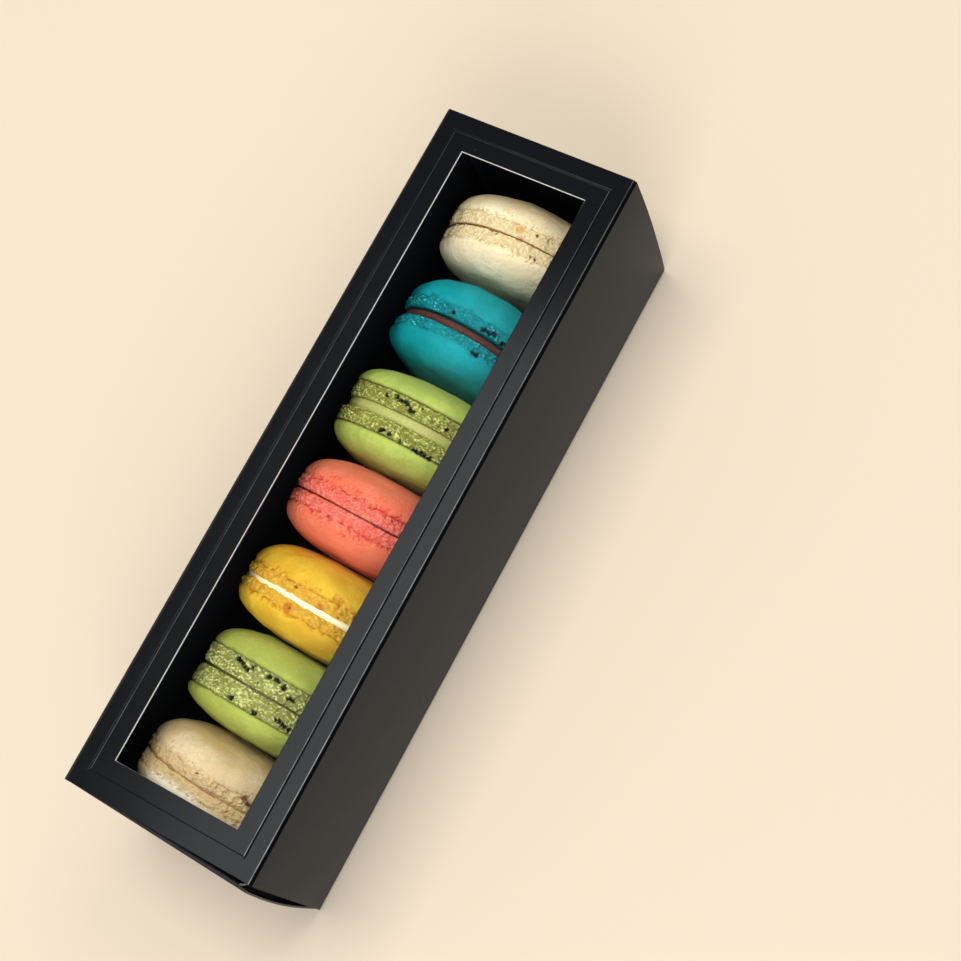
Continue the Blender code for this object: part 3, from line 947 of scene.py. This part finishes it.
# What a biscuit has unless its own dictionary says otherwise. The far shell has the larger Y.
#   turn, lean and wedge: degrees about Z, towards the near end, and open to one side
#   domes and foot: heights; drop: how far the feet sink into the filling
#   crease: its depth, its width and wander in shares of the profile, and the share that is torn
#   pits: their share and depth; holes: (degrees round the shell, height over its base)
#   footShares: how much of the deep tone, as painted shade, the foot's hollows take, and of the
#   crest's, as a painted highlight, its grains
#   stains: (place from the biscuit's middle, size, colour, share)
#   cream: its radius is a share of the shell's; gap and shift make it thinner and move it along Y
usual = {
    "wedge": 0.0, "unevenness": 1.1, "grainSize": 0.8, "dent": 0.15, "blend": 0.07,
    "cracks": 0.1, "creaseTone": "deep", "creaseShare": 0.9,
    "holeSize": 0.55, "farHoles": [], "nearHoles": [], "stains": [],
    # a darker tone comes in towards one way from a reach out: browning on some biscuits, painted
    # shade on others
    "toastAndShadeWay": (0.0, 1.0, 0.2), "toastAndShadeFrom": (9.0, 14.0), "toastAndShadeShare": 0.8,
    "reach": 0.955, "creamGap": 0.0, "creamShift": 0.0, "squeeze": 0.4, "creamGrain": 0.1,
    "creamRough": 0.5,
}
biscuits = [
    {
        "number": 1, "flavour": "ivory", "turn": 2, "lean": 4.0, "wedge": -1.0, "diameter": 45.2,
        "domes": (10.0, 7.6), "foot": 3.2, "filling": 0.6, "drop": 0.40,
        "dome": "#f2e2c2", "shade": "#e9d7b0", "toastAndShadeTone": "#c6aa7c", "toastAndShadeFrom": (7.0, 13.0),
        "toastAndShadeShare": 0.6,
        "skirt": "#e9d7ab", "crest": "#f6ebc9", "deep": "#b8965c", "pit": "#5f4a2c",
        "footShares": (0.35, 0.4),
        "grain": 0.6, "frill": 2.0, "dent": 0.12, "pits": (0.07, 0.5),
        "crease": (0.25, 0.045, 0.3, 0.4),
        "holeSize": 0.4, "farHoles": [(-67, 2.7), (-54, 2.6)],
        "nearHoles": [(65, 2.8), (61, 3.0), (78, 2.3)],
        "stains": [((4, 1, 22), 1.3, "#cf963f", 0.7), ((5, -1, 21), 0.8, "#b9772e", 0.7),
            ((2, 0, 22), 0.4, "#b9772e", 0.5)],
        "cream": "#84521f", "creamDark": "#4e2c10",
    },
    {
        "number": 2, "flavour": "turquoise", "turn": -3, "lean": -1.0, "diameter": 45.4,
        "domes": (11.0, 7.4), "foot": 3.0, "filling": 2.5, "drop": 0.1,
        # painted shade: its darker tone downward, into the box
        "dome": "#0a9aa2", "shade": "#078b94", "toastAndShadeTone": "#0a6a74", "toastAndShadeWay": (0.0, 0.0, -1.0),
        "toastAndShadeFrom": (8.0, 20.0), "toastAndShadeShare": 0.3,
        "skirt": "#0e8f97", "crest": "#6bd2d2", "deep": "#06525e", "pit": "#031f28",
        "footShares": (0.5, 0.85),
        "grain": 0.95, "frill": 1.6, "pits": (0.2, 0.8), "crease": (0.25, 0.045, 0.3, 0.35),
        "creaseShare": 0.6, "cracks": 0.03,
        "holeSize": 0.85,
        "farHoles": [(-70, 0.8), (-69, 1.2), (-66, 0.9), (-94, 0.9), (-62, 1.4), (-53, 0.6)],
        "nearHoles": [(68, 3.2), (65, 3.0)],
        "cream": "#562c26", "creamDark": "#351813", "creamRough": 0.8, "creamGrain": 0.35,
        "creamGap": 0.6, "creamShift": -0.38, "reach": 0.95,
    },
    {
        "number": 3, "flavour": "lime", "turn": -1, "lean": 5.0, "diameter": 45.8,
        "domes": (7.6, 7.8), "foot": 4.4, "filling": 2.4, "drop": 0.1,
        # painted shade: its darker tone on the low near side, with the coral neighbour's reflected
        # colour
        "dome": "#b2c15d", "shade": "#a4b356", "toastAndShadeTone": "#8e7638", "toastAndShadeWay": (0.3, -0.8, -0.45),
        "toastAndShadeFrom": (11.0, 17.0),
        "skirt": "#b0b25b", "crest": "#e4e09a", "deep": "#686a2a", "pit": "#15150a",
        "footShares": (0.75, 0.9),
        "grain": 1.05, "grainSize": 0.75, "frill": 1.1, "dent": 0.25, "blend": 0.015,
        "pits": (0.10, 0.8), "crease": (0.4, 0.05, 0.04, 1.0), "creaseTone": "pit",
        "creaseShare": 0.75, "cracks": 0.04,
        "holeSize": 0.9,
        "farHoles": [(-105, 2.8), (-97, 3.3), (-93, 3.1), (-90, 3.0), (-88, 2.7), (-84, 1.7),
            (-82, 1.6), (-56, 1.6)],
        "nearHoles": [(96, 3.6), (94, 3.5), (89, 3.4), (79, 4.1), (70, 4.2), (67, 4.2),
            (64, 4.1), (61, 4.2), (58, 4.3)],
        "cream": "#b2b268", "creamDark": "#9c9c50", "creamGap": 0.1, "creamShift": -0.1,
    },
    {
        "number": 4, "flavour": "coral", "turn": -2, "lean": 6.0, "diameter": 46.4,
        "domes": (9.2, 8.8), "foot": 3.2, "filling": 0.6, "drop": 0.42,
        # painted shade: its darker tone on the near dome
        "dome": "#e98164", "shade": "#e37355", "toastAndShadeTone": "#e06543", "toastAndShadeWay": (0.0, -1.0, -0.3),
        "toastAndShadeFrom": (3.0, 10.0), "toastAndShadeShare": 0.6,
        "skirt": "#ef8370", "crest": "#f7a08c", "deep": "#cf332d", "pit": "#8f1d1c",
        "footShares": (0.5, 0.3),
        "grain": 0.85, "frill": 2.0, "pits": (0.05, 0.5), "crease": (0.5, 0.05, 0.35, 0.5),
        "creaseShare": 0.85, "cracks": 0.17,
        "cream": "#7a1f1c", "creamDark": "#3a0d0b",
    },
    {
        "number": 5, "flavour": "golden", "turn": -3, "lean": 5.5, "wedge": 2.5, "diameter": 46.0,
        "domes": (9.6, 7.6), "foot": 2.8, "filling": 1.2, "drop": 0.44,
        "dome": "#e3bb36", "shade": "#d5a62c", "toastAndShadeTone": "#cb8230", "toastAndShadeWay": (0.0, 1.0, 0.1),
        "skirt": "#dbad3a", "crest": "#f2cf62", "deep": "#bb7620", "pit": "#8f5214",
        "footShares": (0.3, 0.4),
        "grain": 0.8, "grainSize": 1.1, "frill": 2.2, "pits": (0.03, 0.4),
        "crease": (0.4, 0.05, 0.35, 0.5), "creaseShare": 0.75,
        "farHoles": [(-91, 2.3), (-82, 2.4)],
        "nearHoles": [(91, 1.6), (89, 1.9), (72, 2.6)],
        "stains": [((0, -5, 22), 1.5, "#c0691f", 0.8), ((7, -1, 21), 1.1, "#b8651d", 0.7)],
        "cream": "#fff6cc", "creamDark": "#fbebb4", "creamGrain": 0.05, "reach": 0.975,
        "squeeze": 0.25,
    },
    {
        "number": 6, "flavour": "sage", "turn": -2, "lean": 0.5, "wedge": -0.5, "diameter": 45.0,
        "domes": (8.8, 6.6), "foot": 5.0, "filling": 0.8, "drop": 0.42,
        # painted shade: its darker tone downward, into the box
        "dome": "#afb957", "shade": "#a2ab4f", "toastAndShadeTone": "#8b8c48", "toastAndShadeWay": (0.0, 0.0, -1.0),
        "toastAndShadeFrom": (6.0, 20.0), "toastAndShadeShare": 0.5,
        "skirt": "#c2c577", "crest": "#e6e5aa", "deep": "#6f7233", "pit": "#12130a",
        "footShares": (0.75, 0.9),
        "grain": 1.1, "grainSize": 0.7, "frill": 1.2, "dent": 0.22, "blend": 0.02,
        "pits": (0.10, 0.9), "crease": (0.35, 0.045, 0.08, 0.8), "creaseTone": "pit",
        "creaseShare": 0.6, "cracks": 0.05,
        "holeSize": 0.95,
        "farHoles": [(-108, 4.4), (-106, 4.1), (-103, 3.7), (-100, 3.4), (-97, 3.2), (-94, 4.4),
            (-81, 4.2), (-75, 4.4), (-73, 4.3), (-69, 3.9), (-61, 2.3), (-59, 2.2)],
        "nearHoles": [(97, 4.2), (78, 4.7), (76, 4.6), (62, 3.6), (60, 3.6), (57, 3.9),
            (55, 3.9), (52, 4.2)],
        "cream": "#55532a", "creamDark": "#38360f", "reach": 0.945,
    },
    {
        "number": 7, "flavour": "beige", "turn": -4, "lean": 5.0, "wedge": -0.6, "diameter": 46.0,
        "domes": (9.6, 8.2), "foot": 2.6, "filling": 0.6, "drop": 0.46,
        "dome": "#e2cda8", "shade": "#d8be93", "toastAndShadeTone": "#c9a870",
        "skirt": "#dcc190", "crest": "#ecd9b0", "deep": "#b48a56", "pit": "#5f4526",
        "footShares": (0.25, 0.3),
        "grain": 0.7, "grainSize": 1.1, "frill": 2.2, "dent": 0.08, "pits": (0.02, 0.4),
        "crease": (0.2, 0.045, 0.35, 0.35),
        "holeSize": 0.32, "farHoles": [(-92, 1.6), (-88, 2.5)],
        "stains": [((-9, -7.5, 19), 5.0, "#f1e8cf", 0.9), ((-4, -7.5, 20), 5.0, "#f1e8cf", 0.9),
            ((1, -7.5, 20), 4.8, "#f1e8cf", 0.9), ((6, -8.5, 19), 4.2, "#f1e8cf", 0.6),
            ((13, 1, 18), 1.3, "#5f1d10", 0.95), ((14, 0, 17), 1.3, "#5f1d10", 0.95)],
        "cream": "#b08a5c", "creamDark": "#8a6439", "reach": 0.965,
    },
]
shellLooks = {
    "gap": 0.3,         # between the solids of a shell and its filling
    "patch": 8.0, "mottle": 1.2, "crumb": 0.4, "sugar": 0.75,   # sizes of the mottling
}


def bakedMeringue(biscuit, middle):
    # Oven-dried almond meringue: a matt, faintly mottled skin, darker towards one side, browned on
    # some biscuits and painted shade on others, over a dull foot of burst bubbles with a painted
    # highlight on its raised grains and painted shade in its hollows, pits, holes and crease
    b = biscuit
    material, tree, place = newMaterial(b["flavour"] + "BakedMeringue")
    foot, relief, pore, crease = [
        addNode(tree, "ShaderNodeAttribute", output="Fac", attribute_name=name)
        for name in ("foot", "relief", "pore", "crease")]
    patch, mottle, crumb = [
        addNode(tree, "ShaderNodeTexNoise", {
            "Vector": place, "Scale": 1 / (shellLooks[name] * mm), "Detail": 3.0})
        for name in ("patch", "mottle", "crumb")]
    skin = layered(tree, hexColour(b["dome"]), [
        (patch, 0.35, 0.65, 1.0, b["shade"]), (mottle, 0.45, 0.7, 0.7, b["shade"]),
        (crumb, 0.5, 0.3, 0.28, b["deep"])])

    # the darker tone towards one side: browning on some biscuits, painted shade on others
    fromMiddle = addNode(tree, "ShaderNodeVectorMath", {0: place, 1: middle}, operation="SUBTRACT")
    way = Vector(b["toastAndShadeWay"]).normalized()
    towards = addNode(tree, "ShaderNodeVectorMath", {
        0: fromMiddle, 1: way}, output="Value", operation="DOT_PRODUCT")
    wander = addNode(tree, "ShaderNodeMath", {
        0: patch, 1: 6 * mm, 2: towards}, operation="MULTIPLY_ADD")
    start, end = [(reach + 3) * mm for reach in b["toastAndShadeFrom"]]

    # the foot's tone comes from its own relief and from sugary grains too fine for the mesh:
    # painted shade in its hollows, a painted highlight on its raised grains, and a tone that
    # differs at random
    lying = addNode(tree, "ShaderNodeVectorMath", {
        0: place, 1: (1.0, 1.6, 1.0)}, operation="MULTIPLY")
    grains = addNode(tree, "ShaderNodeTexVoronoi", {
        "Vector": lying, "Scale": 1 / (shellLooks["sugar"] * mm)})
    pick = addNode(tree, "ShaderNodeSeparateColor", {0: grains.node.outputs["Color"]})
    grain = addNode(tree, "ShaderNodeMath", {0: pick, 1: 0.45, 2: relief}, operation="MULTIPLY_ADD")
    grain = addNode(tree, "ShaderNodeMath", {
        0: grains, 1: -0.5, 2: grain}, operation="MULTIPLY_ADD")
    crust = layered(tree, hexColour(b["skirt"]), [
        (grain, 0.12, -0.22, b["footShares"][0], b["deep"]),
        (grain, 0.10, 0.42, b["footShares"][1], b["crest"])])
    layers = [(foot, crust), (wander, start, end, b["toastAndShadeShare"], b["toastAndShadeTone"])]
    for centre, size, tone, share in b["stains"]:
        away = addNode(tree, "ShaderNodeVectorMath", {
            0: fromMiddle, 1: Vector(centre) * mm}, output="Value", operation="DISTANCE")
        ragged = addNode(tree, "ShaderNodeMath", {
            0: mottle, 1: 1.6 * mm, 2: away}, operation="MULTIPLY_ADD")
        layers.append((ragged, (size + 1.1) * mm, (0.6 * size + 0.8) * mm, share, tone))
    # painted shade: the crease and its cracks go dark, and the pits and holes too, partly for their
    # deeper colour
    creased = addNode(tree, "ShaderNodeMath", {
        0: crease, 1: b["creaseShare"]}, operation="MULTIPLY")
    layers += [(creased, b[b["creaseTone"]]), (pore, b["pit"])]
    colour = layered(tree, skin, layers)
    onFoot = addNode(tree, "ShaderNodeMath", {0: grains, 1: foot}, operation="MULTIPLY")
    height = addNode(tree, "ShaderNodeMath", {
        0: mottle, 1: 1.2, 2: crumb}, operation="MULTIPLY_ADD")
    height = addNode(tree, "ShaderNodeMath", {0: height, 1: onFoot}, operation="SUBTRACT")
    bumpShare = addNode(tree, "ShaderNodeMapRange", {"Value": foot, "To Min": 0.6, "To Max": 0.85})
    bump = addNode(tree, "ShaderNodeBump", {
        "Height": height, "Strength": bumpShare, "Distance": 0.25 * mm})
    wire(tree, tree.nodes["Principled BSDF"], {
        "Base Color": colour, "Roughness": 0.72, "Specular IOR Level": 0.14, "Normal": bump,
        "Subsurface Weight": 0.1, "Subsurface Radius": (1.0, 0.7, 0.4),
        "Subsurface Scale": 0.8 * mm})
    return material


def squeezedCream(biscuit):
    # Buttercream, ganache or jam squeezed to the rim: moist and shinier than the shells, with a
    # darker mottle and painted shade where its surface is pressed in
    b = biscuit
    material, tree, place = newMaterial(b["flavour"] + "SqueezedCream")
    relief = addNode(tree, "ShaderNodeAttribute", output="Fac", attribute_name="relief")
    grain = addNode(tree, "ShaderNodeTexNoise", {
        "Vector": place, "Scale": 1 / (0.5 * mm), "Detail": 3.0})
    # a darker random mottle, and painted shade where the surface is pressed in
    colour = layered(tree, hexColour(b["cream"]), [
        (grain, 0.45, 0.7, 0.7, b["creamDark"]), (relief, 0.0, -0.25, 0.8, b["creamDark"])])
    bump = addNode(tree, "ShaderNodeBump", {
        "Height": grain, "Strength": 0.4, "Distance": 0.06 * mm})
    wire(tree, tree.nodes["Principled BSDF"], {
        "Base Color": colour, "Roughness": b["creamRough"], "Normal": bump,
        "Specular IOR Level": 0.3, "Subsurface Weight": 0.15,
        "Subsurface Radius": (1.0, 0.6, 0.4), "Subsurface Scale": 0.8 * mm})
    return material


def holePlaces(name, radius, holes):
    # loose points that a shell's holes open round, and one far off, so that there always is one
    points = [(1, 1, 1)]
    for degrees, height in holes:
        turn = math.radians(degrees)
        points.append((radius * math.cos(turn), radius * math.sin(turn), height * mm))
    mesh = bpy.data.meshes.new(name)
    mesh.from_pydata(points, [], [])
    return newObject(name, mesh)


def makeBiscuit(biscuit, shells, fillings):
    b = {**usual, **biscuit}
    node = f"macaron_{b['number']}"
    low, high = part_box(node + "_filling")
    middle = (low + high) / 2
    radius = b["diameter"] / 2 * mm
    leant = Euler((math.radians(b["lean"]), 0, math.radians(b["turn"]))).to_matrix().to_4x4()
    lie = Matrix.Translation(middle) @ leant
    meringue = bakedMeringue(b, middle)
    for side, facing, dome in (("far", 1, b["domes"][0]), ("near", -1, b["domes"][1])):
        # the foot reaches a little over the solids' gap, and the pair may open to one side
        offset = facing * (b["filling"] / 2 + shellLooks["gap"] - b["drop"]) * mm
        opened = Matrix.Rotation(math.radians(facing * b["wedge"] / 2), 4, "Z")
        upright = Matrix.Rotation(-facing * math.pi / 2, 4, "X")
        place = lie @ opened @ Matrix.Translation((0, offset, 0)) @ upright
        holes = holePlaces("holes", radius * 0.985, b[side + "Holes"])
        depth, width, wander, share = b["crease"]
        shell = runTree(f"{b['flavour']}Shell_{side}", shells, {
            "Radius": radius, "Dome Height": dome * mm, "Foot Height": (b["foot"] + b["drop"]) * mm,
            "Unevenness": b["unevenness"] * mm, "Frill": b["frill"] * mm, "Grain": b["grain"] * mm,
            "Grain Size": b["grainSize"] * mm, "Dent": b["dent"] * mm, "Blend": b["blend"],
            "Crease Depth": depth * mm, "Crease Width": width, "Crease Wander": wander,
            "Crease Share": share, "Crack Reach": b["cracks"],
            "Pit Share": b["pits"][0], "Pit Depth": b["pits"][1] * mm,
            "Object": holes, "Hole Size": b["holeSize"] * mm,
            "Seed": b["number"] * 10.0 + facing, "Material": meringue}, place)
        bpy.data.objects.remove(holes, do_unlink=True)
        handIn(shell, "tray", b["flavour"] + "_shell", f"{node}_shell_{side}")
    thickness = (b["filling"] + 2 * (shellLooks["gap"] - b["creamGap"])) * mm
    shift = Matrix.Translation((0, b["creamShift"] * mm, 0))
    place = lie @ shift @ Matrix.Rotation(math.pi / 2, 4, "X")
    filling = runTree(b["flavour"] + "Filling", fillings, {
        "Radius": radius * b["reach"], "Thickness": thickness, "Squeeze": b["squeeze"] * mm,
        "Grain": b["creamGrain"] * mm, "Seed": b["number"] * 10.0,
        "Material": squeezedCream(b)}, place)
    handIn(filling, "tray", b["flavour"] + "_filling", node + "_filling")


def makeBiscuits():
    shells, fillings = shellTree(), fillingTree()
    for biscuit in biscuits:
        makeBiscuit(biscuit, shells, fillings)
        print("biscuit", biscuit["number"], biscuit["flavour"], "baked")


makeBiscuits()


# Crumbs of shell on the tray's floor

crumbSizes = {"inset": 2.5, "every": 9.0, "size": 0.28, "seed": 4}


def crumbTree():
    tree, feed, result = newTree("shellCrumbs", [
        "Width", "Length", "Density", "Size", "Seed", "Material"])
    floor = addNode(tree, "GeometryNodeMeshGrid", {
        "Size X": feed["Width"], "Size Y": feed["Length"]})
    points = addNode(tree, "GeometryNodeDistributePointsOnFaces", {
        "Mesh": floor, "Density": feed["Density"], "Seed": crumbSizes["seed"]})
    crumb = addNode(tree, "GeometryNodeMeshIcoSphere", {"Radius": 1.0, "Subdivisions": 2})
    place = addNode(tree, "GeometryNodeInputPosition")
    dents = noiseFields(tree, feed["Seed"], [("dent", place, 900.0, 2.0)])
    dented = addNode(tree, "ShaderNodeVectorMath", {
        0: place, "Scale": dents["dent"]}, operation="SCALE")
    crumb = addNode(tree, "GeometryNodeSetPosition", {"Geometry": crumb, "Offset": dented})
    turn = addNode(tree, "FunctionNodeRandomValue", {
        "Min": (0, 0, 0), "Max": (math.tau, math.tau, math.tau)}, data_type="FLOAT_VECTOR")
    size = addNode(tree, "FunctionNodeRandomValue", {
        "Min": 0.4, "Max": 1.0, "Seed": 1}, output=1, data_type="FLOAT")
    size = addNode(tree, "ShaderNodeMath", {0: size, 1: feed["Size"]}, operation="MULTIPLY")
    strewn = addNode(tree, "GeometryNodeInstanceOnPoints", {
        "Points": points, "Instance": crumb, "Rotation": turn, "Scale": size})
    closeUp(tree, strewn, feed["Material"], result)
    return tree


def makeCrumbs():
    s = crumbSizes
    low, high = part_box("tray")
    inset = s["inset"] * mm
    middle = (low + high) / 2
    middle.z = low.z + (traySizes["card"] + s["size"] / 2) * mm
    crumbs = runTree("shellCrumbs", crumbTree(), {
        "Width": high.x - low.x - 2 * inset,
        "Length": high.y - low.y - 2 * inset - traySizes["flare"] * mm,
        "Density": 1 / (s["every"] * mm) ** 2, "Size": s["size"] * mm, "Seed": 0.0,
        "Material": bpy.data.materials["ivoryBakedMeringue"]}, Matrix.Translation(middle))
    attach(crumbs, "tray")


makeCrumbs()
print("crumbs strewn")


print("all pieces made")
